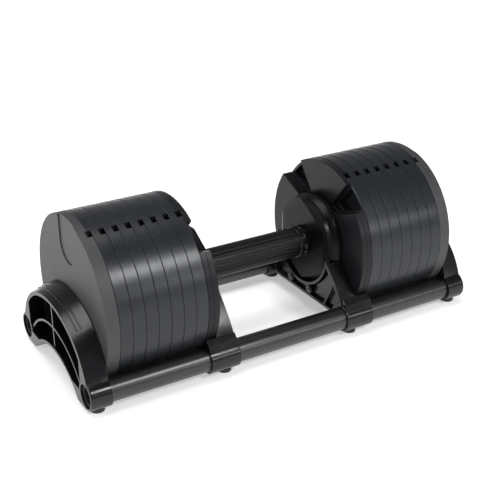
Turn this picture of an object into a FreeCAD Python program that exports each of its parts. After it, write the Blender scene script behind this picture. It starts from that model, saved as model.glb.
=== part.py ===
"""Adjustable dumbbell with a twist-to-select grip, standing in its two-rail cradle.

Millimetres. X runs along the dumbbell's axis, Y towards the back, Z up. The origin is on the
floor under the middle of the cradle. Each sub-part is one function, and each right-hand piece
is the mirror image of its left-hand one unless its function says otherwise.
"""
import FreeCAD, Part
import math
import os

from FreeCAD import Vector

# ---- driving dimensions ----------------------------------------------------------------
AXIS_Z = 77.0            # height of the dumbbell's axis above the floor
PLATE_R = 85.0           # radius of every weight plate
PLATE_FLAT = 74.0        # distance from the axis down to the flat on a plate's bottom
PLATE_PITCH = 13.0       # room a plate takes along the axis
PLATE_GAP = 0.25         # free gap between neighbouring plates
PLATES = 8               # plates on each side
BORE_R = 10.5            # hole through each plate for the selector rod
POCKET_DEPTH = 9.0       # depth of the pockets in a plate's inner face
RIM_CHAMFER = 0.3        # chamfer on the rim's edges

CHEEK_X = 84.0           # inner face of the cheek plate
DISC_T = 6.0             # thickness of the cheek plate, and room the carrier disc takes

TONGUE_BOTTOM = 48.0     # height of the tongue's lower end above the axis
TONGUE_HALF_LOW = 9.0    # its half width there
TONGUE_HALF_RIM = 30.0   # its half width at the rim
TONGUE_RISE = 3.2        # how far it stands out of the plate
TONGUE_FLARE = 1.4       # how much wider each flank is at its outer face
TONGUE_PLAY = 0.5        # free play in the matching groove
RELIEF_Y = (27.5, 35.5)  # reach of the square relief at each end of a groove's mouth
RELIEF_DEPTH = 5.5       # its depth along the axis
RELIEF_BOTTOM = 73.5     # its floor above the axis
END_RECESS = (19.0, 57.0, 1.2)                 # radius, centre height and depth
POCKET_OUTLINE = ((22.5, 45.5), (43.5, 71.5), (64.0, 52.0), (35.5, 40.0))

GRIP_R = 16.0            # fluted grip
GRIP_HALF = 54.0         # half its length
FLUTES = 24
FLUTE_R = 1.9            # radius of the cutter that makes a flute
FLUTE_DEPTH = 0.45
FLUTE_MARGIN = 5.0       # plain collar at each end of the sleeve
TUBE_R = 13.0            # core tube inside the grip
TUBE_BORE_R = 10.4
TUBE_HALF = 79.0
NUT_R = 11.8             # lead nuts inside the core tube
NUT_X = (64.0, 76.0)
DIAL_R = 16.6            # number ring between the grip and each hub
ROD_R = 9.6              # half-round selector rods
ROD_SPLIT = 0.15         # distance from each rod's flat to the axis
ROD_TIP_X = 94.5         # rod tip with no plate selected
ROD_LENGTH = 140.0
SETTINGS = 9             # weight settings, from no plates to all eight pairs
CLICK_DEG = 42.0         # grip turn from one setting to the next

HUB_FACE_X = 66.0        # front face of the hub, next to the dial
HUB_SEAM_X = 73.0        # seam between the hub's cover and its housing
HUB_R = 50.0             # hub housing where it meets the cheek plate
HUB_SEAM_R = 47.0        # hub's radius at that seam
HEX_R = 45.0             # corner radius of the hub's six-sided front face
BEARING_X = (73.5, 77.5)
BEARING_R = 17.0
BUSH_R = 14.0
BUSH_X = 79.4            # inner end of the rod bush
BUSH_FLANGE_R = 24.0
BUSH_FLANGE_X = 80.0     # inner face of the bush's flange
HOUSING_RECESS = (32.0, 24.0, 78.0)            # outer and inner radius, and end, of the lightening ring
COVER_SKIN = 2.2         # thickness of the cover's front
KEY_FLANK = ((19.0, 44.0), (42.5, 74.0))       # edge of the carrier's key, from low to the rim
CHEEK_EDGE = ((34.0, 37.0), (67.5, 51.0))      # top edge of a cheek, from low to the rim
CARRIER_SCREWS = (42.5, (70, 150, 210, 290))   # ring radius, angles from straight up
CARRIER_SCREW_END_X = 77.0
CARRIER_SCREW_R = 2.5
CARRIER_HEAD = (4.8, 2.6)                      # radius and height of its countersunk head
COVER_SCREWS = (37.0, (0, 60, 120, 180, 240, 300))
COVER_SCREW_X = (69.0, 80.0, 83.0)             # its tip, and both ends of its head
COVER_SCREW_R = 1.6
COVER_HEAD_R = 3.0
DETENT_R = 19.2          # notched ring that the click spring rides on
DETENT_X = (68.8, 71.8)
NOTCH_R = 1.8
SPRING_X = (69.0, 71.6, 75.5)                  # the leaf's two edges, and the end of its leg
SPRING_Y = (19.35, 20.15, 20.95)               # the leaf's faces, and the leg's outer face
SPRING_HALF = 9.0        # half the leaf's length
SPRING_LEG = 4.0         # width of its leg

RAIL_Y = 77.0            # cradle rails, front and back
RAIL_R = 12.0
RAIL_WALL = 2.0
RAIL_PLATE_GAP = 0.4     # gap between a plate's rim and the rail it stands on
GROMMET_R = 8.4          # opening of the grommet in a rail's end
COLLAR_R = 14.6          # moulded collars round the rails
BRACKET_X = 200.6        # inner face of an outer bracket
BRACKET_END_X = 222.0    # its outer face
SADDLE_X = 64.0          # inner face of a saddle
SADDLE_COLLAR_END_X = 96.5
PLUG_DEPTH = 10.0        # how far a grommet reaches into a rail
PLUG_FLANGE = 1.6
FOOT_R = 7.0             # round rubber feet
FOOT_SINK = 1.0          # how far a foot is let into its collar
COLLAR_SCREW_R = 1.9
COLLAR_HEAD_R = 3.5
COLLAR_SCREW_Z = (1.2, 9.7)                    # underside of its head, and its tip

BRACKET_CROWN = 6.5      # bow of an outer bracket's top
BRACKET_SHOULDER = (38.0, -2.5)
BRACKET_SIDE = ((68.4, -23.5), (84.0, -57.0))
BRACKET_BASE = (77.0, -74.0)
BRACKET_LIFT = 7.5       # how much higher a bracket's inner face is
BRACKET_SKIN = 4.0       # thickness of its inner wall
BRACKET_HORN = ((70.0, -45.0), (79.0, -43.6), (90.8, -56.0))
ARCH_R = 78.3            # open arch under a bracket
ARCH_DROP = 128.3        # its centre below the axis
BRACKET_RIB = (81.6, 79.2, 105.3)              # the middle rib's radii, its centre below the axis
BRACKET_STRIPES = (10.0, 14.0)                 # where the raised bands on its top start
STRIPE_W = 1.2
STRIPE_RISE = 0.8
STRIPE_HALF = 50.0       # how far they run each way from the middle

SADDLE_CROWN = 2.5       # bow of a saddle's top
SADDLE_SHOULDER = (46.0, -5.0)
SADDLE_SIDE = ((67.5, -28.5), (85.0, -55.0))
SADDLE_BASE = (62.0, -59.5)
SADDLE_HORN = ((62.0, -59.5), (84.0, -66.0), (90.6, -58.0), (84.5, -42.0), (79.0, -37.0))
SADDLE_STRUT = ((44.0, -59.0), (46.5, -59.0), (62.0, -30.0), (59.5, -30.0))
SADDLE_CUP_R = 46.3      # cup round the hub's cover
SADDLE_SKIN = 4.0        # depth of the recess in its inner face
SADDLE_SCREW_YZ = (18.0, -50.4)
SADDLE_SCREW_R = 2.0
SADDLE_BOSS_R = 5.2

RUN_FIT = 0.05           # radial clearance of a running fit
WALL = 3.0               # moulded wall thickness

# ---- worked-out values -----------------------------------------------------------------
RAIL_DROP = math.sqrt((PLATE_R + RAIL_R + RAIL_PLATE_GAP) ** 2 - RAIL_Y ** 2)
RAIL_Z = AXIS_Z - RAIL_DROP
CARRIER_X = CHEEK_X + DISC_T
CARRIER_END_X = CARRIER_X + DISC_T - PLATE_GAP
PLATE_1_X = CARRIER_X + DISC_T
ROD_TRAVEL = (SETTINGS - 1) * PLATE_PITCH
RAIL_END_X = BRACKET_END_X - 4.0
FOOT_STATIONS = (BRACKET_X + 10.7, SADDLE_X + 12.0)
SIDES = {"left": -1, "right": 1}


# ---- helpers ---------------------------------------------------------------------------
def on_axis(x, y, z):
    """A point given by its height above the dumbbell's axis."""
    return Vector(x, y, AXIS_Z + z)


def rod_x(radius, x0, x1, y=0.0, z=AXIS_Z):
    """A solid round bar along X."""
    return Part.makeCylinder(radius, x1 - x0, Vector(x0, y, z), Vector(1, 0, 0))


def ring_x(outer, inner, x0, x1, y=0.0, z=AXIS_Z):
    """A round tube along X."""
    return rod_x(outer, x0, x1, y, z).cut(rod_x(inner, x0 - 1, x1 + 1, y, z))


def block(x0, x1, y0, y1, z0, z1):
    """A box from its two corners."""
    return Part.makeBox(x1 - x0, y1 - y0, z1 - z0, Vector(x0, y0, z0))


def turned(profile):
    """A solid turned about the dumbbell's axis from (x, radius) points."""
    points = [on_axis(x, 0, r) for x, r in profile]
    face = Part.Face(Part.makePolygon(points + points[:1]))
    return face.revolve(on_axis(0, 0, 0), Vector(1, 0, 0), 360)


def prism_x(outline, x0, x1):
    """A prism along X from (y, height above the axis) points."""
    points = [on_axis(x0, y, z) for y, z in outline]
    face = Part.Face(Part.makePolygon(points + points[:1]))
    return face.extrude(Vector(x1 - x0, 0, 0))


def lofted_x(outline_a, xa, outline_b, xb):
    """A solid that runs straight from one (y, height) outline to another."""
    wires = []
    for outline, x in ((outline_a, xa), (outline_b, xb)):
        points = [on_axis(x, y, z) for y, z in outline]
        wires.append(Part.makePolygon(points + points[:1]))
    return Part.makeLoft(wires, True, True)


def fused(shapes):
    """One solid from several that touch."""
    shapes = list(shapes)
    return shapes[0].multiFuse(shapes[1:]).removeSplitter()


def mirrored(shape, side):
    """The shape as drawn on the right, or its mirror image on the left."""
    if SIDES[side] > 0:
        return shape
    return shape.mirror(Vector(0, 0, 0), Vector(1, 0, 0))


def polar(radius, degrees):
    """(y, height) of a point at an angle from straight up, positive to the back."""
    angle = math.radians(degrees)
    return radius * math.sin(angle), radius * math.cos(angle)


def hexagon(radius):
    """A six-sided outline with a corner straight up."""
    return [polar(radius, 60 * i) for i in range(6)]


def export(name, shape):
    """Write one node."""
    if not shape.isValid():
        raise ValueError("%s is not a valid shape" % name)
    shape.exportStep("parts/%s.step" % name)
    print("%-24s %d solid(s) %10.1f mm3" % (name, len(shape.Solids), shape.Volume))


# ---- weight plates ---------------------------------------------------------------------
def wedge_outline(grow, rim_z):
    """The tongue's outline, wide at the rim and narrow below, grown by grow all round."""
    slope = (TONGUE_HALF_RIM - TONGUE_HALF_LOW) / (PLATE_R - TONGUE_BOTTOM)
    low = TONGUE_HALF_LOW + grow
    high = low + slope * (rim_z - TONGUE_BOTTOM)
    bottom = TONGUE_BOTTOM - grow
    return [(-low, bottom), (low, bottom), (high, rim_z), (-high, rim_z)]


def tongue(face_x):
    """The dovetailed tongue on a plate's outer face, cut to the plate's round."""
    base = wedge_outline(0.0, PLATE_R + 4)
    tip = wedge_outline(TONGUE_FLARE, PLATE_R + 4)
    wedge = lofted_x(base, face_x - 0.2, tip, face_x + TONGUE_RISE)
    return wedge.common(rod_x(PLATE_R - RIM_CHAMFER, face_x - 1, face_x + 20))


def groove(face_x):
    """The space for the neighbour's tongue, cut into a plate's inner face."""
    mouth = wedge_outline(TONGUE_PLAY, PLATE_R + 6)
    floor = wedge_outline(TONGUE_PLAY + TONGUE_FLARE, PLATE_R + 6)
    parts = [lofted_x(mouth, face_x - 0.2, floor, face_x + TONGUE_RISE)]
    for sign in (-1, 1):
        low, high = sorted((sign * RELIEF_Y[0], sign * RELIEF_Y[1]))
        parts.append(block(face_x - 0.2, face_x + RELIEF_DEPTH, low, high,
                           AXIS_Z + RELIEF_BOTTOM, AXIS_Z + PLATE_R + 5))
    return fused(parts)


def disc(x0, x1):
    """A round disc with chamfered rim edges and a flat bottom."""
    c = RIM_CHAMFER
    body = turned([(x0, 0), (x0, PLATE_R - c), (x0 + c, PLATE_R),
                   (x1 - c, PLATE_R), (x1, PLATE_R - c), (x1, 0)])
    return body.cut(block(x0 - 1, x1 + 1, -100, 100, AXIS_Z - PLATE_R - 5, AXIS_Z - PLATE_FLAT))


def end_recess(face_x):
    """A shallow round-ended recess in the outermost plate's face, open at the rim."""
    half, centre, depth = END_RECESS
    slot = rod_x(half, face_x - depth, face_x + 1, 0, AXIS_Z + centre)
    return slot.fuse(block(face_x - depth, face_x + 1, -half, half, AXIS_Z + centre, AXIS_Z + 100))


def balance_pockets(face_x):
    """The two blind pockets beside a plate's groove, which a hub's open notches look into."""
    pockets = [prism_x(half, face_x - 1, face_x + POCKET_DEPTH) for half in both_hands(POCKET_OUTLINE)]
    return fused(pockets).common(rod_x(PLATE_R - WALL, face_x - 1, face_x + POCKET_DEPTH))


def plate(number):
    """One weight plate, counted outwards. The outermost has a blind bore and no tongue."""
    x0 = PLATE_1_X + (number - 1) * PLATE_PITCH
    x1 = x0 + PLATE_PITCH - PLATE_GAP
    body = disc(x0, x1).cut(groove(x0)).cut(balance_pockets(x0))
    if number < PLATES:
        body = body.fuse(tongue(x1)).cut(rod_x(BORE_R, x0 - 1, x1 + TONGUE_RISE + 1))
    else:
        body = body.cut(end_recess(x1)).cut(rod_x(BORE_R, x0 - 1, ROD_TIP_X + ROD_TRAVEL + 0.3))
    lead_in = Part.makeCone(BORE_R + 1.4, BORE_R - 0.6, 2.0, on_axis(x0, 0, 0), Vector(1, 0, 0))
    return body.cut(lead_in).removeSplitter()


# ---- hubs ------------------------------------------------------------------------------
def both_hands(outline):
    """An outline and its mirror image, front for back."""
    return [list(outline), [(-y, z) for y, z in outline]]


def carrier_disc():
    """The outer steel disc of a hub, with a key at the top between two open notches."""
    (key_y, key_z), (rim_y, rim_z) = KEY_FLANK
    (low_y, low_z), (out_y, out_z) = CHEEK_EDGE
    notch = [(key_y, key_z), (rim_y, rim_z), (rim_y + 14, rim_z + 18), (out_y + 22, out_z + 10),
             (out_y, out_z), (low_y, low_z)]
    body = disc(CARRIER_X, CARRIER_END_X)
    for outline in both_hands(notch):
        body = body.cut(prism_x(outline, CARRIER_X - 1, CARRIER_END_X + 1))
    body = body.fuse(tongue(CARRIER_END_X)).cut(rod_x(BUSH_R, CARRIER_X - 1, CARRIER_END_X + 8))
    return body.cut(fused(carrier_screw_bars())).removeSplitter()


def cheek_plate():
    """The inner steel disc of a hub, cut away across the top to leave a cheek on each side."""
    (low_y, low_z), (out_y, out_z) = CHEEK_EDGE
    half = [(low_y, low_z), (out_y, out_z), (out_y + 22, out_z + 10), (out_y + 22, 100)]
    outline = half + [(-y, z) for y, z in reversed(half)]
    body = disc(CHEEK_X, CARRIER_X).cut(prism_x(outline, CHEEK_X - 1, CARRIER_X + 1))
    body = body.cut(rod_x(BUSH_R, CHEEK_X - 1, CARRIER_X + 1))
    return body.cut(fused(carrier_screw_bars())).removeSplitter()


def ring_points(spec):
    """Positions of screws on a ring."""
    radius, angles = spec
    return [polar(radius, angle) for angle in angles]


def carrier_screw_bars():
    """The outer shapes of one hub's countersunk screws, heads outwards."""
    head_r, height = CARRIER_HEAD
    bars = []
    for y, z in ring_points(CARRIER_SCREWS):
        shank = rod_x(CARRIER_SCREW_R, CARRIER_SCREW_END_X, CARRIER_END_X, y, AXIS_Z + z)
        start = on_axis(CARRIER_END_X - height, y, z)
        bars.append(shank.fuse(Part.makeCone(CARRIER_SCREW_R, head_r, height, start, Vector(1, 0, 0))))
    return bars


def hex_socket(x0, x1, across, y, z):
    """The six-sided key hole of a screw."""
    reach = across / math.sqrt(3)
    return prism_x([(y + dy, z + dz) for dy, dz in hexagon(reach)], x0, x1)


def carrier_screws():
    """The countersunk screws that clamp both discs of each hub to its housing."""
    solids = []
    for side in SIDES:
        for bar, (y, z) in zip(carrier_screw_bars(), ring_points(CARRIER_SCREWS)):
            screw = bar.cut(hex_socket(CARRIER_END_X - 1.8, CARRIER_END_X + 1, 3.0, y, z))
            solids.append(mirrored(screw, side))
    return Part.makeCompound(solids)


def cover_screw(y, z):
    """A socket-headed screw that holds the cover from behind."""
    tip, neck, end = COVER_SCREW_X
    shank = rod_x(COVER_SCREW_R, tip, neck, y, AXIS_Z + z)
    body = shank.fuse(rod_x(COVER_HEAD_R, neck, end, y, AXIS_Z + z))
    return body.cut(hex_socket(end - 1.6, end + 1, 2.5, y, z))


def cover_screws():
    """All the screws of both hub covers."""
    return Part.makeCompound([mirrored(cover_screw(y, z), side)
                              for side in SIDES for y, z in ring_points(COVER_SCREWS)])


def hub_cover():
    """The cover that faces the grip: a six-sided front whose flats run out into a round body."""
    shell = turned([(HUB_FACE_X, 0), (HUB_FACE_X, HEX_R - 0.7), (HUB_FACE_X + 3.0, HUB_SEAM_R - 0.6),
                    (HUB_SEAM_X, HUB_SEAM_R), (HUB_SEAM_X, 0)])
    flats = lofted_x(hexagon(HEX_R), HUB_FACE_X, hexagon(HEX_R + 15.0), HUB_SEAM_X)
    front, back = HUB_FACE_X + COVER_SKIN, HUB_SEAM_X + 1
    cavity = turned([(front, 0), (front, 27.0), (back, 30.0), (back, 0)])
    body = shell.common(flats).cut(cavity)
    body = body.cut(rod_x(DIAL_R + 0.5, HUB_FACE_X - 1, HUB_FACE_X + 3))
    for y, z in ring_points(COVER_SCREWS):
        body = body.cut(rod_x(COVER_SCREW_R, COVER_SCREW_X[0], back, y, AXIS_Z + z))
    return body.removeSplitter()


def hub_housing():
    """The round moulded body of a hub, with a web that carries the grip's bearing."""
    x0, x1 = HUB_SEAM_X, CHEEK_X
    run, flare = CHEEK_X - 2.5 - x0, HUB_R - HUB_SEAM_R
    slope = [(x0 + run * share, HUB_SEAM_R + flare * math.sin(math.pi / 2 * share))
             for share in (0.0, 0.25, 0.5, 0.75, 1.0)]
    body = turned([(x0, 0)] + slope + [(x1, HUB_R), (x1, 0)])
    outer, inner, recess_end = HOUSING_RECESS
    body = body.cut(ring_x(outer, inner, x0 - 1, recess_end))
    body = body.cut(rod_x(BEARING_R, x0 - 1, BEARING_X[1])).cut(rod_x(TUBE_R + 3.2, x0, BUSH_X))
    body = body.cut(rod_x(BUSH_FLANGE_R, BUSH_FLANGE_X, x1 + 1))
    body = body.cut(rod_x(BUSH_R + 0.2, BUSH_X - 1, x1 + 1))
    for y, z in ring_points(CARRIER_SCREWS):
        body = body.cut(rod_x(CARRIER_SCREW_R, CARRIER_SCREW_END_X, x1 + 1, y, AXIS_Z + z))
    for y, z in ring_points(COVER_SCREWS):
        body = body.cut(cover_screw(y, z))
        body = body.cut(rod_x(COVER_HEAD_R, COVER_SCREW_X[1], x1 + 1, y, AXIS_Z + z))
    seat = click_spring_leg(0.1)
    return body.cut(seat).removeSplitter()


def half_round(radius, flat, x0, x1, sign):
    """A bar of half-round section on one side of the axis."""
    half = rod_x(radius, x0, x1)
    low, high = sorted((sign * flat, sign * (radius + 2)))
    return half.common(block(x0 - 1, x1 + 1, low, high, AXIS_Z - radius - 2, AXIS_Z + radius + 2))


def rod_bush(side):
    """The steel bush that guides one selector rod and keeps it from turning."""
    body = fused([rod_x(BUSH_R, BUSH_X, CARRIER_END_X), rod_x(BUSH_FLANGE_R, BUSH_FLANGE_X, CHEEK_X)])
    hole = half_round(ROD_R + RUN_FIT, ROD_SPLIT - RUN_FIT, BUSH_X - 1, CARRIER_END_X + 1, -SIDES[side])
    return mirrored(body.cut(hole), side)


def selector_rod(side):
    """One half-round rod. The front one serves the right-hand plates, the back one the left."""
    sign = -SIDES[side]
    start, shoulder = ROD_TIP_X - ROD_LENGTH, ROD_TIP_X - 3.0
    bar = half_round(ROD_R, ROD_SPLIT, start, shoulder, sign)
    nose = Part.makeCone(ROD_R, ROD_R - 2.0, 3.0, on_axis(shoulder, 0, 0), Vector(1, 0, 0))
    low, high = sorted((sign * ROD_SPLIT, sign * 20))
    nose = nose.common(block(shoulder, ROD_TIP_X, low, high, AXIS_Z - 20, AXIS_Z + 20))
    return mirrored(bar.fuse(nose).removeSplitter(), side)


def bearing(side):
    """The plain bearing ring in which one end of the core tube turns."""
    return mirrored(ring_x(BEARING_R, TUBE_R + RUN_FIT, *BEARING_X), side)


def click_spring_leg(play=0.0):
    """The leg that holds the click spring in the hub's web, grown by play for its seat."""
    x0, y0, z0 = SPRING_X[0], SPRING_Y[1], AXIS_Z - SPRING_HALF
    return block(x0, SPRING_X[2] + play, y0 - play, SPRING_Y[2] + play, z0 - play, z0 + SPRING_LEG + play)


def click_spring():
    """The bent leaf spring in the right hub that clicks over the detent ring's notches."""
    x0, x1, _ = SPRING_X
    leaf = block(x0, x1, SPRING_Y[0], SPRING_Y[1], AXIS_Z - SPRING_HALF, AXIS_Z + SPRING_HALF)
    return fused([leaf, click_spring_leg()])


# ---- grip ------------------------------------------------------------------------------
def grip_sleeve():
    """The fluted sleeve that the hand turns, with a plain collar at each end."""
    body = ring_x(GRIP_R, TUBE_R, -GRIP_HALF, GRIP_HALF)
    end = GRIP_HALF - FLUTE_MARGIN
    for i in range(FLUTES):
        y, z = polar(GRIP_R + FLUTE_R - FLUTE_DEPTH, 360.0 * i / FLUTES)
        body = body.cut(rod_x(FLUTE_R, -end, end, y, AXIS_Z + z))
    return body


def core_tube():
    """The steel tube that the rods slide in, with a seat for a lead nut near each end."""
    body = ring_x(TUBE_R, TUBE_BORE_R, -TUBE_HALF, TUBE_HALF)
    for sign in (-1, 1):
        low, high = sorted((sign * NUT_X[0], sign * (TUBE_HALF + 1)))
        body = body.cut(rod_x(NUT_R, low, high))
    return body


def lead_nut(side):
    """The nut that drives one rod along as the grip turns."""
    return mirrored(ring_x(NUT_R, ROD_R + RUN_FIT, *NUT_X), side)


def dial(side):
    """The ring that carries the setting numbers."""
    end = HUB_FACE_X + 1.0
    profile = [(GRIP_HALF, TUBE_R), (GRIP_HALF, DIAL_R - 0.8), (GRIP_HALF + 0.8, DIAL_R),
               (end, DIAL_R), (end, TUBE_R)]
    return mirrored(turned(profile), side)


def detent_ring():
    """The notched ring in the right hub, one notch for each setting."""
    x0, x1 = DETENT_X
    body = ring_x(DETENT_R, TUBE_R, x0, x1)
    for i in range(SETTINGS):
        y, z = polar(DETENT_R + 0.7, 90 + i * CLICK_DEG)
        body = body.cut(rod_x(NOTCH_R, x0 - 1, x1 + 1, y, AXIS_Z + z))
    return body


def retaining_rings():
    """The open snap rings that keep the core tube in its bearings."""
    solids = []
    for side in SIDES:
        ring = ring_x(15.6, TUBE_R, BEARING_X[1] + 0.1, BEARING_X[1] + 1.1)
        ring = ring.cut(block(70, 85, -3, 3, AXIS_Z - 17, AXIS_Z))
        solids.append(mirrored(ring, side))
    return Part.makeCompound(solids)


# ---- cradle ----------------------------------------------------------------------------
def rail(sign):
    """One steel rail, a round tube along the cradle."""
    body = ring_x(RAIL_R, RAIL_R - RAIL_WALL, -RAIL_END_X, RAIL_END_X, sign * RAIL_Y, RAIL_Z)
    for x in FOOT_STATIONS:
        body = body.cut(collar_screw_holes(x)).cut(collar_screw_holes(-x))
    return body


def collars(x0, x1, radius):
    """Round bars about both rails."""
    return [rod_x(radius, x0, x1, sign * RAIL_Y, RAIL_Z) for sign in (-1, 1)]


def rail_plug(sign, side):
    """The open grommet that lines one end of a rail."""
    y, start = sign * RAIL_Y, RAIL_END_X - PLUG_DEPTH
    flange = rod_x(RAIL_R, RAIL_END_X, RAIL_END_X + PLUG_FLANGE, y, RAIL_Z)
    body = rod_x(RAIL_R - RAIL_WALL, start, RAIL_END_X, y, RAIL_Z).fuse(flange)
    body = body.cut(rod_x(GROMMET_R, start - 1, RAIL_END_X + 2, y, RAIL_Z))
    return mirrored(body.cut(collar_screw_holes(FOOT_STATIONS[0])), side)


def eased(shape, x, radius):
    """The shape with the edges of its end face at x rounded."""
    near = 0.01
    edges = [edge for edge in shape.Edges
             if abs(edge.BoundBox.XMin - x) < near and abs(edge.BoundBox.XMax - x) < near]
    return shape.makeFillet(radius, edges)


def arched_wire(x, crown_rise, shoulder, side, base, lift=0.0, inset=0.0):
    """A closed outline with a bowed top and bowed sides.

    shoulder is where the top meets a side, side holds the side's middle and lower end, and
    base is the lower corner; all are (y, height above the axis). The top is raised by lift.
    """
    top_y, top_z = shoulder[0] - inset, shoulder[1] - inset + lift
    (mid_y, mid_z), (low_y, low_z) = side
    mid = (mid_y - inset, mid_z - inset + 0.8 * lift)
    low = (low_y - inset, low_z)
    corner = (base[0] - inset, base[1] + inset)
    crown = on_axis(x, 0, top_z + crown_rise)
    left = [on_axis(x, -y, z) for y, z in ((top_y, top_z), mid, low, corner)]
    right = [on_axis(x, y, z) for y, z in ((top_y, top_z), mid, low, corner)]
    edges = [Part.Arc(left[0], crown, right[0]).toShape(), Part.Arc(right[0], right[1], right[2]).toShape(),
             Part.makeLine(right[2], right[3]), Part.makeLine(right[3], left[3]),
             Part.makeLine(left[3], left[2]), Part.Arc(left[2], left[1], left[0]).toShape()]
    return Part.Wire(edges)


def bracket_wire(x, inset=0.0):
    """An outer bracket's outline at x."""
    lift = BRACKET_LIFT * (BRACKET_END_X - x) / (BRACKET_END_X - BRACKET_X)
    return arched_wire(x, BRACKET_CROWN, BRACKET_SHOULDER, BRACKET_SIDE, BRACKET_BASE, lift, inset)


def bracket_slice(x0, x1, inset=0.0):
    """The part of a bracket's outer shape between two stations."""
    return Part.makeLoft([bracket_wire(x0, inset), bracket_wire(x1, inset)], True, True)


def outer_bracket():
    """A moulded arch that ties the rails together and closes the end of the plate row."""
    x0, x1 = BRACKET_X, BRACKET_END_X
    inner_x, rib_end = x0 + BRACKET_SKIN, x1 - 1.2
    arch = rod_x(ARCH_R, x0 - 1, x1 + 2, 0, AXIS_Z - ARCH_DROP)
    parts = [bracket_slice(x0, x1)] + [eased(collar, x1, 1.4) for collar in collars(x0, x1, COLLAR_R)]
    for outline in both_hands(list(BRACKET_HORN) + [(RAIL_Y, -RAIL_DROP)]):
        parts.append(prism_x(outline, x0, x1 - 1.6))
    for x in (x0 + start for start in BRACKET_STRIPES):
        zone = block(x, x + STRIPE_W, -STRIPE_HALF, STRIPE_HALF, AXIS_Z - 20, AXIS_Z + 30)
        parts.append(bracket_slice(x, x + STRIPE_W, -STRIPE_RISE).common(zone))
    body = fused(parts).cut(arch)
    outer, inner, drop = BRACKET_RIB
    pocket = bracket_slice(inner_x, x1 + 1, WALL)
    pocket = pocket.cut(rod_x(ARCH_R + WALL, x0, x1 + 2, 0, AXIS_Z - ARCH_DROP))
    pocket = pocket.cut(ring_x(outer, inner, x0, rib_end, 0, AXIS_Z - drop))
    pocket = pocket.cut(block(x0, rib_end, -1.2, 1.2, 0, 200))
    for collar in collars(x0, x1 + 2, COLLAR_R):
        pocket = pocket.cut(collar)
    body = body.cut(pocket.common(block(x0, x1 + 2, -66, 66, RAIL_Z, 200)))
    for bore in collars(x0 - 1, x1 + 1, RAIL_R):
        body = body.cut(bore)
    station = FOOT_STATIONS[0]
    return body.cut(collar_screw_holes(station)).cut(foot_pockets(station)).removeSplitter()


def saddle_slice(x0, x1, inset=0.0):
    """The part of a saddle's outer shape between two stations."""
    wire = arched_wire(x0, SADDLE_CROWN, SADDLE_SHOULDER, SADDLE_SIDE, SADDLE_BASE, inset=inset)
    return Part.Face(wire).extrude(Vector(x1 - x0, 0, 0))


def inner_saddle():
    """A moulded cross piece with a cup for one hub, tied to both rails."""
    x0, x1, x2 = SADDLE_X, CHEEK_X - 1.0, SADDLE_COLLAR_END_X
    body = fused([saddle_slice(x0, x1)] + [eased(collar, x0, 1.2) for collar in collars(x0, x2, COLLAR_R)])
    for outline in both_hands(SADDLE_HORN):
        body = body.fuse(prism_x(outline, x0 + 1.2, x2))
    before, floor = x0 - 2, x0 + SADDLE_SKIN
    recess = saddle_slice(x0 - 1, floor, WALL).cut(rod_x(SADDLE_CUP_R + WALL, before, floor + 1))
    for collar in collars(before, floor + 1, COLLAR_R + 1.0):
        recess = recess.cut(collar)
    screw_y, screw_z = SADDLE_SCREW_YZ
    for sign in (-1, 1):
        recess = recess.cut(rod_x(SADDLE_BOSS_R, before, floor + 1, sign * screw_y, AXIS_Z + screw_z))
    for strut in both_hands(SADDLE_STRUT):
        recess = recess.cut(prism_x(strut, before, floor + 1))
    body = body.cut(recess)
    body = body.cut(rod_x(PLATE_R + 0.6, CHEEK_X - 1.0, x2 + 1))
    body = body.cut(rod_x(HUB_R + 0.4, floor, x1 + 1)).cut(rod_x(SADDLE_CUP_R, x0 - 1, x1 + 1))
    body = body.cut(block(x0 - 1, floor + 1, -SADDLE_CUP_R, SADDLE_CUP_R, AXIS_Z - 5, AXIS_Z + 60))
    body = body.cut(block(x0 - 1, x1 + 1, -HUB_R - 0.4, HUB_R + 0.4, AXIS_Z - 2.0, AXIS_Z + 60))
    for bore in collars(x0 - 1, x2 + 1, RAIL_R):
        body = body.cut(bore)
    for sign in (-1, 1):
        body = body.cut(rod_x(SADDLE_SCREW_R, x0 - 1, x0 + 9, sign * screw_y, AXIS_Z + screw_z))
    station = FOOT_STATIONS[1]
    return body.cut(collar_screw_holes(station)).cut(foot_pockets(station)).removeSplitter()


def saddle_screws():
    """The two pan-headed screws in the inner face of each saddle."""
    screw_y, screw_z = SADDLE_SCREW_YZ
    solids = []
    for side in SIDES:
        for sign in (-1, 1):
            y, z = sign * screw_y, AXIS_Z + screw_z
            head = eased(rod_x(3.9, SADDLE_X - 1.6, SADDLE_X, y, z), SADDLE_X - 1.6, 0.8)
            screw = head.fuse(rod_x(SADDLE_SCREW_R, SADDLE_X, SADDLE_X + 9, y, z))
            socket = hex_socket(SADDLE_X - 2, SADDLE_X - 0.6, 2.5, y, screw_z)
            solids.append(mirrored(screw.cut(socket), side))
    return Part.makeCompound(solids)


def collar_screw_holes(x):
    """The holes for the screws that pin both collars to the rails."""
    holes = [Part.makeCylinder(COLLAR_SCREW_R, 12, Vector(x, sign * RAIL_Y, -1)) for sign in (-1, 1)]
    return holes[0].fuse(holes[1])


def foot_disc(x, sign):
    """The outer shape of one rubber foot under a collar."""
    return Part.makeCylinder(FOOT_R, RAIL_Z - COLLAR_R + FOOT_SINK, Vector(x, sign * RAIL_Y, 0))


def foot_pockets(x):
    """The shallow seats for both feet at one collar pair."""
    return foot_disc(x, -1).fuse(foot_disc(x, 1))


def rubber_feet():
    """All eight feet, each with a hole for its screw."""
    solids = []
    for side in SIDES:
        for x in FOOT_STATIONS:
            for sign in (-1, 1):
                hole = Part.makeCylinder(COLLAR_HEAD_R + 0.1, 20, Vector(x, sign * RAIL_Y, -1))
                solids.append(mirrored(foot_disc(x, sign).cut(hole), side))
    return Part.makeCompound(solids)


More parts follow.
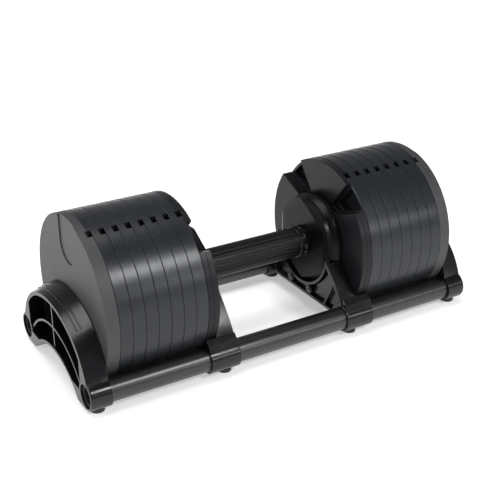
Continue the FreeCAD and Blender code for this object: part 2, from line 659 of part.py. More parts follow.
def collar_screws():
    """The screws that pin the collars to the rails from below."""
    low, tip = COLLAR_SCREW_Z
    seat = RAIL_Z - COLLAR_R + FOOT_SINK
    solids = []
    for side in SIDES:
        for x in FOOT_STATIONS:
            for sign in (-1, 1):
                base = Vector(x, sign * RAIL_Y, low)
                head = Part.makeCylinder(COLLAR_HEAD_R, seat - low, base)
                screw = head.fuse(Part.makeCylinder(COLLAR_SCREW_R, tip - low, base))
                solids.append(mirrored(screw, side))
    return Part.makeCompound(solids)


def main():
    """Build and write every node."""
    os.makedirs("parts", exist_ok=True)
    for side in SIDES:
        for number in range(1, PLATES + 1):
            export("plate_%s_%d" % (side, number), mirrored(plate(number), side))
        export("carrier_disc_%s" % side, mirrored(carrier_disc(), side))
        export("cheek_plate_%s" % side, mirrored(cheek_plate(), side))
        export("hub_cover_%s" % side, mirrored(hub_cover(), side))
        export("hub_housing_%s" % side, mirrored(hub_housing(), side))
        export("rod_bush_%s" % side, rod_bush(side))
        export("selector_rod_%s" % side, selector_rod(side))
        export("bearing_%s" % side, bearing(side))
        export("lead_nut_%s" % side, lead_nut(side))
        export("dial_%s" % side, dial(side))
        export("outer_bracket_%s" % side, mirrored(outer_bracket(), side))
        export("inner_saddle_%s" % side, mirrored(inner_saddle(), side))
    export("carrier_screws", carrier_screws())
    export("cover_screws", cover_screws())
    export("click_spring", click_spring())
    export("grip_sleeve", grip_sleeve())
    export("core_tube", core_tube())
    export("detent_ring", detent_ring())
    export("retaining_rings", retaining_rings())
    export("rail_front", rail(-1))
    export("rail_rear", rail(1))
    plugs = [rail_plug(sign, side) for sign in (-1, 1) for side in SIDES]
    export("rail_plugs", Part.makeCompound(plugs))
    export("saddle_screws", saddle_screws())
    export("collar_screws", collar_screws())
    export("rubber_feet", rubber_feet())


main()
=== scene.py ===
"""Looks for an adjustable dumbbell in its cradle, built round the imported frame."""

import logging
import math
from dataclasses import dataclass, field
from enum import Enum

import bpy
from mathutils import Matrix, Vector


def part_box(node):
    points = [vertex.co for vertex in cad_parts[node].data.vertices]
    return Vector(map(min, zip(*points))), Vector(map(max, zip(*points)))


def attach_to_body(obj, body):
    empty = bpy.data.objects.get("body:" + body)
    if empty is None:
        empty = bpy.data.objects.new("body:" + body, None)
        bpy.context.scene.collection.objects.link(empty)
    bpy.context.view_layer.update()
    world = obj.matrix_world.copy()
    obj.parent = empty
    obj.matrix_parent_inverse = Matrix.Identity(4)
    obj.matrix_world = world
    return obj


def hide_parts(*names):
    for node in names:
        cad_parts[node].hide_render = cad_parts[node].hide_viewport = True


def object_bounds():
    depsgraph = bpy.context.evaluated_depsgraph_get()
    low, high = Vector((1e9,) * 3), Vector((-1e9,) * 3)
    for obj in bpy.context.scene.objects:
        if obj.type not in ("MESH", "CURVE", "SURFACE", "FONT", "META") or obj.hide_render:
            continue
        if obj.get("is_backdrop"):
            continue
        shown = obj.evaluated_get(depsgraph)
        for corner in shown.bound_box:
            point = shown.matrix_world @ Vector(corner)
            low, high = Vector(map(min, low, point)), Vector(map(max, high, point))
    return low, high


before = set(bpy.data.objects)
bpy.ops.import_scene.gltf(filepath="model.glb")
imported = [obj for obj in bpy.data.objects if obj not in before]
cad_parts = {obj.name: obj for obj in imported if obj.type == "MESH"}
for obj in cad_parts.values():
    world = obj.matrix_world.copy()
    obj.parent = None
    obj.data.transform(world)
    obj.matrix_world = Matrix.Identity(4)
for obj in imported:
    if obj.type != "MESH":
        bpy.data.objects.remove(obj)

logging.basicConfig(level=logging.INFO, format="%(message)s")
LOG = logging.getLogger("dumbbell")

Colour = tuple[float, float, float]
Scale = tuple[float, float, float]
Span = tuple[float, float]
Socket = bpy.types.NodeSocket

MM = 0.001
MERGE_DISTANCE = 1e-6
EDGE_SAMPLES = 4
EDGE_SPAN: Span = (0.72, 0.985)   # how alike rounded and flat normals are, from an edge to a face
MIDTONES: Span = (0.3, 0.7)       # the part of a noise that holds most of its values
WHITE: Colour = (1.0, 1.0, 1.0)
MIX_FACTOR, MIX_FIRST, MIX_SECOND, MIX_RESULT = 0, 6, 7, 2   # a colour mix's sockets


class Side(Enum):
    """The two heads of the dumbbell, as the sign of X."""

    LEFT = -1
    RIGHT = 1

    @property
    def word(self) -> str:
        """The side as it stands in a node's name."""
        return self.name.lower()


class Grain(Enum):
    """How a steel face was cut, as the noise scale along X, Y and Z."""

    TURNED = (2600.0, 9.0, 9.0)
    DRAWN = (6.0, 900.0, 900.0)


# ---- node helpers -----------------------------------------------------------------------
class Tree:
    """A thin wrapper that adds and joins shader nodes by name."""

    def __init__(self, owner: bpy.types.ID) -> None:
        """Clear the owner's node tree.

        Args:
            owner: the material or world that holds the tree.
        """
        owner.use_nodes = True
        self.nodes = owner.node_tree.nodes
        self.links = owner.node_tree.links
        self.nodes.clear()

    def add(self, kind: str, **values: object) -> bpy.types.Node:
        """Add a node and set its properties or its input sockets.

        Args:
            kind: the node's type, without "ShaderNode".
            values: property or socket names, spaces as underscores, with their values.

        Returns:
            The new node.
        """
        node = self.nodes.new("ShaderNode" + kind)
        for key, value in values.items():
            if hasattr(node, key) and key not in ("inputs", "color"):
                setattr(node, key, value)
            else:
                node.inputs[key.replace("_", " ")].default_value = value
        return node

    def join(self, source: Socket, target: Socket) -> None:
        """Link an output to an input."""
        self.links.new(source, target)

    def math(self, operation: str, first: object, second: object, clamp: bool = False) -> Socket:
        """One math step.

        Args:
            operation: the Math node's operation.
            first: a socket or a number.
            second: a socket or a number.
            clamp: whether the result is kept between 0 and 1.

        Returns:
            The result's socket.
        """
        node = self.add("Math", operation=operation, use_clamp=clamp)
        for index, value in enumerate((first, second)):
            if isinstance(value, (int, float)):
                node.inputs[index].default_value = value
            else:
                self.join(value, node.inputs[index])
        return node.outputs[0]

    def ramp(self, value: Socket, span: Span, result: Span = (0.0, 1.0)) -> Socket:
        """Map a value from one span to another, held at both ends.

        Args:
            value: the value.
            span: where it comes from.
            result: where it goes.

        Returns:
            The mapped value's socket.
        """
        node = self.add("MapRange", From_Min=span[0], From_Max=span[1], To_Min=result[0], To_Max=result[1])
        self.join(value, node.inputs["Value"])
        return node.outputs[0]

    def blend(self, factor: Socket, first: object, second: object) -> Socket:
        """Mix two colours.

        Args:
            factor: how much of the second colour shows.
            first: a socket or a colour.
            second: a socket or a colour.

        Returns:
            The mixed colour's socket.
        """
        node = self.add("Mix", data_type="RGBA")
        self.join(factor, node.inputs[MIX_FACTOR])
        for index, value in ((MIX_FIRST, first), (MIX_SECOND, second)):
            if isinstance(value, tuple):
                node.inputs[index].default_value = (*value, 1.0)
            else:
                self.join(value, node.inputs[index])
        return node.outputs[MIX_RESULT]

    def noise(self, scale: Scale, detail: float = 3.0, rough: float = 0.55) -> Socket:
        """Noise on object coordinates, stretched by a scale along each axis."""
        place = self.add("TexCoord")
        stretch = self.add("Mapping", Scale=scale)
        noise = self.add("TexNoise", Scale=1.0, Detail=detail, Roughness=rough)
        self.join(place.outputs["Object"], stretch.inputs["Vector"])
        self.join(stretch.outputs[0], noise.inputs["Vector"])
        return noise.outputs["Fac"]

    def rounded(self, radius: float) -> Socket:
        """The normal of the piece with its edges rounded by a radius."""
        return self.add("Bevel", samples=EDGE_SAMPLES, Radius=radius).outputs[0]

    def edge_mask(self, radius: float) -> Socket:
        """1 along the piece's sharp edges and 0 on its faces."""
        flat = self.add("NewGeometry")
        dot = self.add("VectorMath", operation="DOT_PRODUCT")
        self.join(self.rounded(radius), dot.inputs[0])
        self.join(flat.outputs["Normal"], dot.inputs[1])
        return self.ramp(dot.outputs["Value"], EDGE_SPAN, (1.0, 0.0))

    def relief(self, height: Socket, depth: float, strength: float, radius: float) -> Socket:
        """A bumped normal over softened edges.

        Args:
            height: the bump's height.
            depth: how deep the bump is, in metres.
            strength: how strongly it shows.
            radius: the radius that edges look rounded by, in metres.

        Returns:
            The normal's socket.
        """
        bump = self.add("Bump", Strength=strength, Distance=depth)
        self.join(height, bump.inputs["Height"])
        self.join(self.rounded(radius), bump.inputs["Normal"])
        return bump.outputs[0]

    def surface(self, **values: object) -> bpy.types.Node:
        """The Principled shader, joined to the output."""
        shader = self.add("BsdfPrincipled", **values)
        output = self.add("OutputMaterial")
        self.join(shader.outputs[0], output.inputs["Surface"])
        return shader


# ---- finishes ---------------------------------------------------------------------------
@dataclass(frozen=True)
class Finish:
    """A finish that a piece can be given. Its material is made once and kept."""

    name: str
    colour: Colour
    roughness: float

    def paint(self, tree: Tree) -> None:
        """Build the finish's nodes. Each kind of finish has its own."""
        raise NotImplementedError

    def material(self) -> bpy.types.Material:
        """The finish's material, made on first use."""
        found = bpy.data.materials.get(self.name)
        if found:
            return found
        made = bpy.data.materials.new(self.name)
        self.paint(Tree(made))
        return made

    def dress(self, *objects: bpy.types.Object) -> None:
        """Give the objects this finish all over."""
        for obj in objects:
            obj.data.materials.clear()
            obj.data.materials.append(self.material())

    def shade(self, factor: float) -> Colour:
        """The finish's colour, darker or lighter."""
        return tuple(min(1.0, channel * factor) for channel in self.colour)

    def rough_by(self, tree: Tree, value: Socket, swing: Span, span: Span = MIDTONES) -> Socket:
        """Roughness that follows a noise.

        Args:
            tree: the material's nodes.
            value: the noise.
            swing: how far the roughness falls below and rises above the finish's own.
            span: the part of the noise that it follows.

        Returns:
            The roughness's socket.
        """
        fall, rise = swing
        return tree.ramp(value, span, (self.roughness - fall, self.roughness + rise))


@dataclass(frozen=True)
class CoatedSteel(Finish):
    """Charcoal coated steel whose cutting marks show through, bare along its edges."""

    grain: Grain = Grain.TURNED
    contrast: float = 0.16
    wear: float = 0.5
    metal: float = 0.25
    gloss: float = 0.5
    streak_share: float = 0.65
    cloud_scale: Scale = (16.0, 11.0, 11.0)
    tone_span: Span = (0.32, 0.68)
    patch_scale: Scale = (150.0, 90.0, 90.0)
    patch_span: Span = (0.38, 0.62)
    least_rub: float = 0.25
    rub_width: float = 0.55 * MM
    rub_shade: float = 2.6
    rub_polish: float = 0.12
    rough_swing: Span = (0.05, 0.07)
    cut_depth: float = 0.06 * MM
    cut_strength: float = 0.35
    edge_round: float = 0.35 * MM

    def paint(self, tree: Tree) -> None:
        """Streaks of the cut, cloudy tone, rubbed edges."""
        streak = tree.noise(self.grain.value, detail=4.0, rough=0.6)
        cloud = tree.noise(self.cloud_scale)
        tone = tree.math("ADD", tree.math("MULTIPLY", streak, self.streak_share),
                         tree.math("MULTIPLY", cloud, 1 - self.streak_share))
        mixed = tree.blend(tree.ramp(tone, self.tone_span),
                           self.shade(1 - self.contrast), self.shade(1 + self.contrast))
        patches = tree.ramp(tree.noise(self.patch_scale, detail=4.0, rough=0.7),
                            self.patch_span, (self.least_rub, 1.0))
        rub = tree.math("MULTIPLY", tree.edge_mask(self.rub_width),
                        tree.math("MULTIPLY", patches, self.wear))
        shader = tree.surface(Metallic=self.metal, Specular_IOR_Level=self.gloss)
        tree.join(tree.blend(rub, mixed, self.shade(self.rub_shade)), shader.inputs["Base Color"])
        rough = self.rough_by(tree, tone, self.rough_swing)
        tree.join(tree.math("SUBTRACT", rough, tree.math("MULTIPLY", rub, self.rub_polish)),
                  shader.inputs["Roughness"])
        tree.join(tree.relief(streak, self.cut_depth, self.cut_strength, self.edge_round),
                  shader.inputs["Normal"])


@dataclass(frozen=True)
class Moulding(Finish):
    """Glossy moulded plastic, faintly rippled, with light dust and a painted highlight that lightens its
    edges.
    """

    ripple: float = 0.25
    dust: float = 0.05
    gloss: float = 0.4
    refraction: float = 1.5
    ripple_scale: Scale = (95.0, 95.0, 95.0)
    ripple_depth: float = 0.25 * MM
    smear_scale: Scale = (28.0, 34.0, 22.0)
    dust_span: Span = (0.4, 0.75)
    dust_gain: float = 4.0
    dust_shade: float = 1.9
    # painted highlight along the edges: how wide it is, how much of it shows and how much lighter it is
    shine_width: float = 0.7 * MM
    shine_share: float = 0.8
    shine_shade: float = 14.0
    rough_swing: Span = (0.06, 0.08)
    edge_round: float = 0.6 * MM

    def paint(self, tree: Tree) -> None:
        """Ripple, dust and a painted highlight along the edges."""
        ripple = tree.noise(self.ripple_scale, detail=2.0)
        smear = tree.noise(self.smear_scale, detail=4.0, rough=0.65)
        # painted highlight: the colour is lightened along every edge
        edge = tree.math("MULTIPLY", tree.edge_mask(self.shine_width), self.shine_share)
        shader = tree.surface(IOR=self.refraction, Specular_IOR_Level=self.gloss)
        dusty = tree.math("MULTIPLY", tree.ramp(smear, self.dust_span), self.dust * self.dust_gain, True)
        base = tree.blend(dusty, self.colour, self.shade(self.dust_shade))
        tree.join(tree.blend(edge, base, self.shade(self.shine_shade)), shader.inputs["Base Color"])
        tree.join(self.rough_by(tree, smear, self.rough_swing), shader.inputs["Roughness"])
        tree.join(tree.relief(ripple, self.ripple_depth, self.ripple, self.edge_round),
                  shader.inputs["Normal"])


@dataclass(frozen=True)
class RailPaint(Finish):
    """Thick black enamel on tube, with a clear coat and drawing lines beneath."""

    coat: float = 0.5
    coat_roughness: float = 0.26
    refraction: float = 1.5
    peel_scale: Scale = (240.0, 240.0, 240.0)
    peel_depth: float = 0.08 * MM
    peel_strength: float = 0.3
    scuff_scale: Scale = (18.0, 260.0, 260.0)
    scuff_span: Span = (0.58, 0.72)
    most_scuff: float = 0.35
    scuff_shade: float = 3.2
    scuff_roughness: float = 0.4
    rough_swing: Span = (0.04, 0.06)
    edge_round: float = 0.4 * MM

    def paint(self, tree: Tree) -> None:
        """Lengthwise lines, orange peel and scuffs."""
        lines = tree.noise(Grain.DRAWN.value)
        peel = tree.noise(self.peel_scale, detail=2.0)
        scuff = tree.ramp(tree.noise(self.scuff_scale, detail=4.0, rough=0.7),
                          self.scuff_span, (0.0, self.most_scuff))
        shader = tree.surface(Coat_Weight=self.coat, Coat_Roughness=self.coat_roughness, IOR=self.refraction)
        tree.join(tree.blend(scuff, self.colour, self.shade(self.scuff_shade)), shader.inputs["Base Color"])
        tree.join(tree.math("ADD", self.rough_by(tree, lines, self.rough_swing),
                            tree.math("MULTIPLY", scuff, self.scuff_roughness)), shader.inputs["Roughness"])
        tree.join(tree.relief(peel, self.peel_depth, self.peel_strength, self.edge_round),
                  shader.inputs["Normal"])


@dataclass(frozen=True)
class GripCoat(Finish):
    """Black hard-coated aluminium, polished by hands on the tops of its flutes."""

    metal: float = 0.4
    gloss: float = 0.3
    grain_scale: Scale = (700.0, 700.0, 700.0)
    grain_depth: float = 0.05 * MM
    grain_strength: float = 0.4
    grease_scale: Scale = (30.0, 60.0, 60.0)
    dry_shade: float = 0.8
    greasy_shade: float = 1.3
    worn_width: float = 0.3 * MM
    worn_span: Span = (0.35, 0.65)
    worn_share: Span = (0.15, 0.6)
    worn_shade: float = 3.5
    rough_swing: Span = (0.07, 0.09)
    edge_round: float = 0.2 * MM

    def paint(self, tree: Tree) -> None:
        """Fine grain, worn flute edges and a little grease."""
        grain = tree.noise(self.grain_scale)
        grease = tree.noise(self.grease_scale, detail=4.0, rough=0.65)
        worn = tree.math("MULTIPLY", tree.edge_mask(self.worn_width),
                         tree.ramp(grease, self.worn_span, self.worn_share))
        shader = tree.surface(Metallic=self.metal, Specular_IOR_Level=self.gloss)
        base = tree.blend(grease, self.shade(self.dry_shade), self.shade(self.greasy_shade))
        tree.join(tree.blend(worn, base, self.shade(self.worn_shade)), shader.inputs["Base Color"])
        tree.join(self.rough_by(tree, grease, self.rough_swing), shader.inputs["Roughness"])
        tree.join(tree.relief(grain, self.grain_depth, self.grain_strength, self.edge_round),
                  shader.inputs["Normal"])


@dataclass(frozen=True)
class BareMetal(Finish):
    """Machined metal with no coat: rods, bushes, screws, nuts and springs."""

    grain: Grain = Grain.TURNED
    mark_depth: float = 0.03 * MM
    mark_strength: float = 0.3
    tarnish_scale: Scale = (60.0, 60.0, 60.0)
    tarnish_span: Span = (0.35, 0.7)
    clean_shade: float = 1.1
    tarnished_shade: float = 0.72
    # painted highlight along the edges: how wide it is, how much of it shows and how much lighter it is
    shine_width: float = 0.25 * MM
    shine_share: float = 0.5
    shine_shade: float = 1.6
    rough_span: Span = (0.35, 0.65)
    rough_swing: Span = (0.06, 0.1)
    edge_round: float = 0.15 * MM

    def paint(self, tree: Tree) -> None:
        """Tool marks, slight tarnish and a painted highlight along the edges."""
        marks = tree.noise(self.grain.value)
        tarnish = tree.noise(self.tarnish_scale, detail=4.0, rough=0.6)
        shader = tree.surface(Metallic=1.0)
        base = tree.blend(tree.ramp(tarnish, self.tarnish_span),
                          self.shade(self.clean_shade), self.shade(self.tarnished_shade))
        # painted highlight: the colour is lightened along every edge
        edge = tree.math("MULTIPLY", tree.edge_mask(self.shine_width), self.shine_share)
        tree.join(tree.blend(edge, base, self.shade(self.shine_shade)), shader.inputs["Base Color"])
        mean = tree.math("MULTIPLY", tree.math("ADD", marks, tarnish), 0.5)
        tree.join(self.rough_by(tree, mean, self.rough_swing, self.rough_span), shader.inputs["Roughness"])
        tree.join(tree.relief(marks, self.mark_depth, self.mark_strength, self.edge_round),
                  shader.inputs["Normal"])


@dataclass(frozen=True)
class MattePolymer(Finish):
    """Matte rubber or plastic with a fine pebble and dust in its hollows."""

    pebble: float = 420.0
    pebble_depth: float = 0.12 * MM
    pebble_strength: float = 0.5
    refraction: float = 1.45
    dust_scale: Scale = (45.0, 45.0, 45.0)
    dust_span: Span = (0.45, 0.75)
    most_dust: float = 0.4
    dust_shade: float = 2.2
    rough_swing: Span = (0.05, 0.08)
    edge_round: float = 0.3 * MM

    def paint(self, tree: Tree) -> None:
        """Pebble and dust."""
        pebble = tree.noise((self.pebble,) * 3, rough=0.6)
        dust = tree.ramp(tree.noise(self.dust_scale, detail=4.0, rough=0.65),
                         self.dust_span, (0.0, self.most_dust))
        shader = tree.surface(IOR=self.refraction)
        tree.join(tree.blend(dust, self.colour, self.shade(self.dust_shade)), shader.inputs["Base Color"])
        tree.join(self.rough_by(tree, pebble, self.rough_swing), shader.inputs["Roughness"])
        tree.join(tree.relief(pebble, self.pebble_depth, self.pebble_strength, self.edge_round),
                  shader.inputs["Normal"])


@dataclass(frozen=True)
class MarkingInk(Finish):
    """Printed ink for the dial's numbers."""

    cover_scale: Scale = (900.0, 900.0, 900.0)
    thin_shade: float = 0.8
    rough_swing: Span = (0.05, 0.05)

    def paint(self, tree: Tree) -> None:
        """Slightly uneven coverage."""
        cover = tree.noise(self.cover_scale)
        shader = tree.surface()
        tree.join(tree.blend(tree.ramp(cover, MIDTONES), self.shade(self.thin_shade), self.colour),
                  shader.inputs["Base Color"])
        tree.join(self.rough_by(tree, cover, self.rough_swing), shader.inputs["Roughness"])


PLATE_RIM = CoatedSteel("plate_rim_charcoal", (0.0185, 0.0205, 0.0235), 0.29, wear=0.25)
END_FACE = CoatedSteel("end_plate_charcoal", (0.052, 0.053, 0.055), 0.50, contrast=0.1)
HUB_DISC = CoatedSteel("hub_disc_charcoal", (0.0135, 0.0145, 0.016), 0.33, gloss=0.22)
HUB_SHELL = Moulding("hub_shell_black", (0.0035, 0.0037, 0.0042), 0.30, gloss=0.14)
CRADLE_SHELL = Moulding("cradle_shell_black", (0.004, 0.0043, 0.005), 0.19, gloss=0.42)
DIAL_SHELL = Moulding("dial_black", (0.0045, 0.0045, 0.005), 0.22)
RAIL_ENAMEL = RailPaint("rail_enamel_black", (0.004, 0.0042, 0.0046), 0.36)
GRIP_BLACK = GripCoat("grip_hard_coat", (0.009, 0.0093, 0.010), 0.34)
GROUND_STEEL = BareMetal("ground_steel", (0.55, 0.55, 0.56), 0.26)
BLACK_OXIDE = BareMetal("black_oxide_steel", (0.11, 0.11, 0.115), 0.34)
NUT_BRASS = BareMetal("lead_nut_brass", (0.62, 0.43, 0.17), 0.28)
SPRING_STEEL = BareMetal("spring_steel", (0.4, 0.4, 0.42), 0.3, grain=Grain.DRAWN)
BEARING_WHITE = MattePolymer("bearing_acetal", (0.62, 0.6, 0.54), 0.5)
PLUG_BLACK = MattePolymer("plug_black", (0.018, 0.018, 0.019), 0.48)
FOOT_RUBBER = MattePolymer("foot_rubber", (0.022, 0.022, 0.022), 0.72, pebble=650.0)
DIAL_INK = MarkingInk("dial_ink_grey", (0.14, 0.143, 0.147), 0.5)


# ---- modelling helpers ------------------------------------------------------------------
def clear_selection() -> None:
    """Deselect every object."""
    bpy.ops.object.select_all(action="DESELECT")


def settle(obj: bpy.types.Object) -> bpy.types.Object:
    """Move a piece's place, turn and scale into its mesh."""
    clear_selection()
    obj.select_set(True)
    bpy.context.view_layer.objects.active = obj
    bpy.ops.object.transform_apply(location=True, rotation=True, scale=True)
    return obj


def attach(obj: bpy.types.Object, name: str, body: str, finish: Finish) -> bpy.types.Object:
    """Name, finish and mount a finished piece.

    Args:
        obj: the piece, in place.
        name: its name.
        body: the CAD body it moves with.
        finish: what it's coated with.

    Returns:
        The same piece.
    """
    obj.name = name
    obj.data.name = name
    settle(obj)
    finish.dress(obj)
    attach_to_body(obj, body)
    LOG.info("piece %s on %s: %d faces", name, body, len(obj.data.polygons))
    return obj


def nodes(*names: str) -> list[bpy.types.Object]:
    """The CAD nodes of these names."""
    return [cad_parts[name] for name in names]


# ---- sub-assemblies ---------------------------------------------------------------------
@dataclass
class PlateRow:
    """The loose weight plates of one head."""

    side: Side
    count: int = 8

    def build(self) -> None:
        """Dress each plate."""
        for number in range(1, self.count + 1):
            finish = END_FACE if number == self.count else PLATE_RIM
            finish.dress(*nodes("plate_%s_%d" % (self.side.word, number)))
        LOG.info("plates dressed on the %s", self.side.word)


@dataclass
class Hub:
    """One hub: its steel discs, shells, bearing and screws."""

    side: Side

    def build(self) -> None:
        """Dress the hub's nodes."""
        word = self.side.word
        HUB_DISC.dress(*nodes("carrier_disc_" + word, "cheek_plate_" + word))
        HUB_SHELL.dress(*nodes("hub_cover_" + word, "hub_housing_" + word))
        GROUND_STEEL.dress(*nodes("rod_bush_" + word))
        BEARING_WHITE.dress(*nodes("bearing_" + word))
        LOG.info("hub dressed on the %s", word)


@dataclass
class Grip:
    """The turning grip with its number rings."""

    settings: int = 9
    click: float = math.radians(42.0)
    digit_height: float = 5.0 * MM
    size_per_height: float = 1.35
    curve_steps: int = 3
    ink: float = 0.12 * MM

    def build(self) -> None:
        """Dress the grip and print its rings."""
        GRIP_BLACK.dress(*nodes("grip_sleeve"))
        GROUND_STEEL.dress(*nodes("core_tube"))
        BLACK_OXIDE.dress(*nodes("retaining_rings"))
        NUT_BRASS.dress(*nodes("detent_ring"))
        for side in Side:
            NUT_BRASS.dress(*nodes("lead_nut_" + side.word))
            DIAL_SHELL.dress(*nodes("dial_" + side.word))
            self.print_ring(side)

    def print_ring(self, side: Side) -> None:
        """Print the numbers round one ring as one piece."""
        low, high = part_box("dial_" + side.word)
        centre = (low + high) / 2
        radius = (high.z - low.z) / 2
        digits = [self.digit(str(number), centre, radius, number * self.click)
                  for number in range(self.settings)]
        clear_selection()
        for obj in digits:
            obj.select_set(True)
        bpy.context.view_layer.objects.active = digits[0]
        bpy.ops.object.join()
        attach(digits[0], "dial_numbers_" + side.word, "grip", DIAL_INK)

    def digit(self, text: str, centre: Vector, radius: float, turn: float) -> bpy.types.Object:
        """One digit, set on the ring and facing out.

        Args:
            text: what it reads.
            centre: the ring's centre.
            radius: the ring's radius.
            turn: the angle from the front towards the bottom.

        Returns:
            The digit as a mesh.
        """
        clear_selection()
        bpy.ops.object.text_add()
        obj = bpy.context.object
        obj.data.body = text
        obj.data.size = self.digit_height * self.size_per_height
        obj.data.align_x = "CENTER"
        obj.data.align_y = "CENTER"
        obj.data.extrude = self.ink
        obj.data.resolution_u = self.curve_steps
        bpy.ops.object.convert(target="MESH")
        obj = bpy.context.object
        stand = Matrix.Rotation(math.radians(90), 4, "X")
        out = Matrix.Rotation(-turn, 4, "X") @ Matrix.Translation((0, -radius, 0))
        obj.matrix_world = Matrix.Translation(centre) @ out @ stand
        return settle(obj)


@dataclass
class SelectorRod:
    """One half-round rod, remade with its lead thread."""

    side: Side
    pitch: float = 4.0 * MM
    depth: float = 0.7 * MM
    plain: float = 8.0 * MM
    nose: float = 3.0 * MM
    nose_drop: float = 2.0 * MM
    play: float = 0.12 * MM
    steps: int = 40
    tooth: tuple[Span, ...] = ((0.0, 0.0), (0.3, 1.0), (0.5, 1.0), (0.8, 0.0))

    def outline(self, length: float, radius: float) -> list[tuple[float, float]]:
        """The rod's profile, from the axis at its tail to the axis at its tip.

        Args:
            length: the rod's length.
            radius: its outer radius.

        Returns:
            (distance from the tail, distance from the axis) of each point, in order.
        """
        points = [(0.0, 0.0), (0.0, radius - self.depth), (self.depth, radius)]
        station = self.plain
        while station < length - self.plain:
            for share, drop in self.tooth:
                points.append((station + share * self.pitch, radius - drop * self.depth))
            station += self.pitch
        return points + [(length - self.nose, radius), (length, radius - self.nose_drop), (length, 0.0)]

    def build(self) -> None:
        """Turn the threaded profile, cut the bar down its flat and mount it."""
        name = "selector_rod_" + self.side.word
        low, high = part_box(name)
        radius = (high.z - low.z) / 2 - self.play
        middle = (high.z + low.z) / 2
        front = high.y <= 0
        flat = high.y if front else low.y
        tail = low.x if self.side is Side.RIGHT else high.x
        profile = self.outline(high.x - low.x, radius)
        clear_selection()
        bpy.ops.mesh.primitive_plane_add(size=MM, location=(0, 0, 0))
        obj = bpy.context.object
        bpy.ops.object.mode_set(mode="EDIT")
        bpy.ops.mesh.select_all(action="SELECT")
        bpy.ops.mesh.merge(type="CENTER")
        bpy.ops.transform.translate(value=(tail, 0, middle))
        for (along, reach), (next_along, next_reach) in zip(profile, profile[1:]):
            step = (self.side.value * (next_along - along), 0, next_reach - reach)
            bpy.ops.mesh.extrude_region_move(TRANSFORM_OT_translate={"value": step})
        bpy.ops.mesh.select_all(action="SELECT")
        bpy.ops.mesh.spin(steps=self.steps, angle=math.tau, center=(0, 0, middle), axis=(1, 0, 0))
        bpy.ops.mesh.select_all(action="SELECT")
        bpy.ops.mesh.remove_doubles(threshold=MERGE_DISTANCE)
        bpy.ops.mesh.normals_make_consistent(inside=False)
        bpy.ops.mesh.bisect(plane_co=(0, flat, middle), plane_no=(0, 1, 0), use_fill=True,
                            clear_inner=not front, clear_outer=front)
        bpy.ops.object.mode_set(mode="OBJECT")
        attach(obj, "threaded_rod_" + self.side.word, "rod_" + self.side.word, GROUND_STEEL)
        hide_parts(name)


@dataclass
class Cradle:
    """The rails, brackets, saddles, feet and their screws."""

    def build(self) -> None:
        """Dress the cradle's nodes."""
        RAIL_ENAMEL.dress(*nodes("rail_front", "rail_rear"))
        for side in Side:
            CRADLE_SHELL.dress(*nodes("outer_bracket_" + side.word, "inner_saddle_" + side.word))
        PLUG_BLACK.dress(*nodes("rail_plugs"))
        FOOT_RUBBER.dress(*nodes("rubber_feet"))
        BLACK_OXIDE.dress(*nodes("collar_screws", "saddle_screws", "carrier_screws", "cover_screws"))
        SPRING_STEEL.dress(*nodes("click_spring"))


# ---- studio -----------------------------------------------------------------------------
@dataclass(frozen=True)
class Softbox:
    """An area light that looks at the object."""

    name: str
    place: tuple[float, float, float]
    size: tuple[float, float]
    watts: float
    aim: tuple[float, float, float] = (0.0, 0.0, 0.07)

    def build(self) -> None:
        """Add the light."""
        data = bpy.data.lights.new(self.name, "AREA")
        data.shape = "RECTANGLE"
        data.size, data.size_y = self.size
        data.energy = self.watts
        light = bpy.data.objects.new(self.name, data)
        light.location = self.place
        light.rotation_euler = (Vector(self.aim) - Vector(self.place)).to_track_quat("-Z", "Y").to_euler()
        bpy.context.scene.collection.objects.link(light)


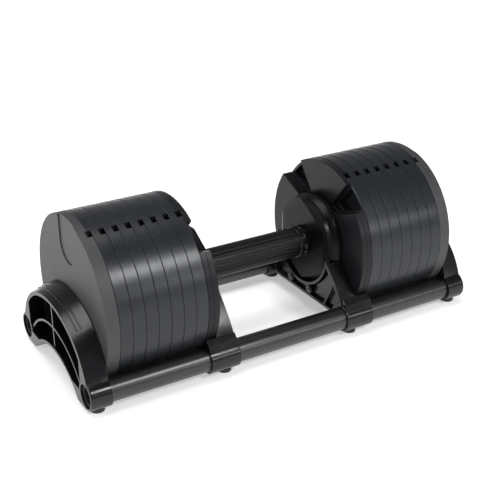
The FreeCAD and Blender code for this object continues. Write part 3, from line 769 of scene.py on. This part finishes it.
@dataclass
class Studio:
    """The floor, the light and the camera."""

    floor_size: float = 14.0
    floor_drop: float = 0.3 * MM
    floor_colour: Colour = (0.9, 0.9, 0.9)
    floor_roughness: float = 0.75
    glow: Span = (0.42, 0.95)
    glow_reach: Span = (0.6, 3.2)
    sky_span: Span = (0.0, 0.9)
    horizon: Colour = (0.40, 0.41, 0.42)
    zenith: Colour = (0.09, 0.092, 0.097)
    eye: tuple[float, float, float] = (-0.490, -0.815, 0.5285)
    lens: float = 72.0
    softboxes: list[Softbox] = field(default_factory=lambda: [
        Softbox("front_band", (0.44, -1.18, 1.18), (0.36, 0.26), 9.5),
        Softbox("rail_strip", (0.90, -1.60, 0.66), (0.9, 0.22), 4.4),
        Softbox("left_low", (-1.9, 0.1, 0.62), (1.0, 0.8), 15.0),
        Softbox("overhead", (-0.35, 0.35, 2.4), (1.6, 1.6), 34.0),
    ])

    def build(self) -> None:
        """Set up the studio round the finished object."""
        self.lay_floor()
        self.light_world()
        for box in self.softboxes:
            box.build()
        self.place_camera()

    def lay_floor(self) -> None:
        """A plain pale floor just under the feet."""
        clear_selection()
        bpy.ops.mesh.primitive_plane_add(size=self.floor_size, location=(0, 0, -self.floor_drop))
        floor = bpy.context.object
        floor.name = "studio_floor"
        material = bpy.data.materials.new("studio_floor")
        tree = Tree(material)
        shader = tree.surface(Base_Color=(*self.floor_colour, 1.0), Roughness=self.floor_roughness,
                              Specular_IOR_Level=0.0, Emission_Color=(*WHITE, 1.0))
        reach = tree.add("VectorMath", operation="LENGTH")
        tree.join(tree.add("TexCoord").outputs["Object"], reach.inputs[0])
        glow = tree.ramp(reach.outputs["Value"], self.glow_reach, self.glow)
        tree.join(glow, shader.inputs["Emission Strength"])
        floor.data.materials.append(material)
        floor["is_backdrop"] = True

    def light_world(self) -> None:
        """White behind the object, but a dim sky for its reflections, shown with plain contrast."""
        bpy.context.scene.view_settings.view_transform = "Standard"
        world = bpy.data.worlds.new("studio")
        bpy.context.scene.world = world
        tree = Tree(world)
        place = tree.add("TexCoord")
        split = tree.add("SeparateXYZ")
        tree.join(place.outputs["Generated"], split.inputs[0])
        height = tree.ramp(split.outputs["Z"], self.sky_span)
        sky = tree.blend(height, self.horizon, self.zenith)
        seen = tree.add("LightPath").outputs["Is Camera Ray"]
        light = tree.add("Background", Strength=1.0)
        output = tree.add("OutputWorld")
        tree.join(tree.blend(seen, sky, WHITE), light.inputs["Color"])
        tree.join(light.outputs[0], output.inputs["Surface"])

    def place_camera(self) -> None:
        """Stand the camera and aim it at the object's middle."""
        low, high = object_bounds()
        data = bpy.data.cameras.new("camera")
        data.lens = self.lens
        camera = bpy.data.objects.new("camera", data)
        camera.location = self.eye
        aim = (low + high) / 2 - Vector(self.eye)
        camera.rotation_euler = aim.to_track_quat("-Z", "Y").to_euler()
        bpy.context.scene.collection.objects.link(camera)
        bpy.context.scene.camera = camera


def main() -> None:
    """Build every sub-assembly in order, then the studio."""
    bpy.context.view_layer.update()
    for side in Side:
        PlateRow(side).build()
        Hub(side).build()
        SelectorRod(side).build()
    Grip().build()
    Cradle().build()
    Studio().build()
    bpy.context.view_layer.update()


if __name__ == "__main__":
    main()
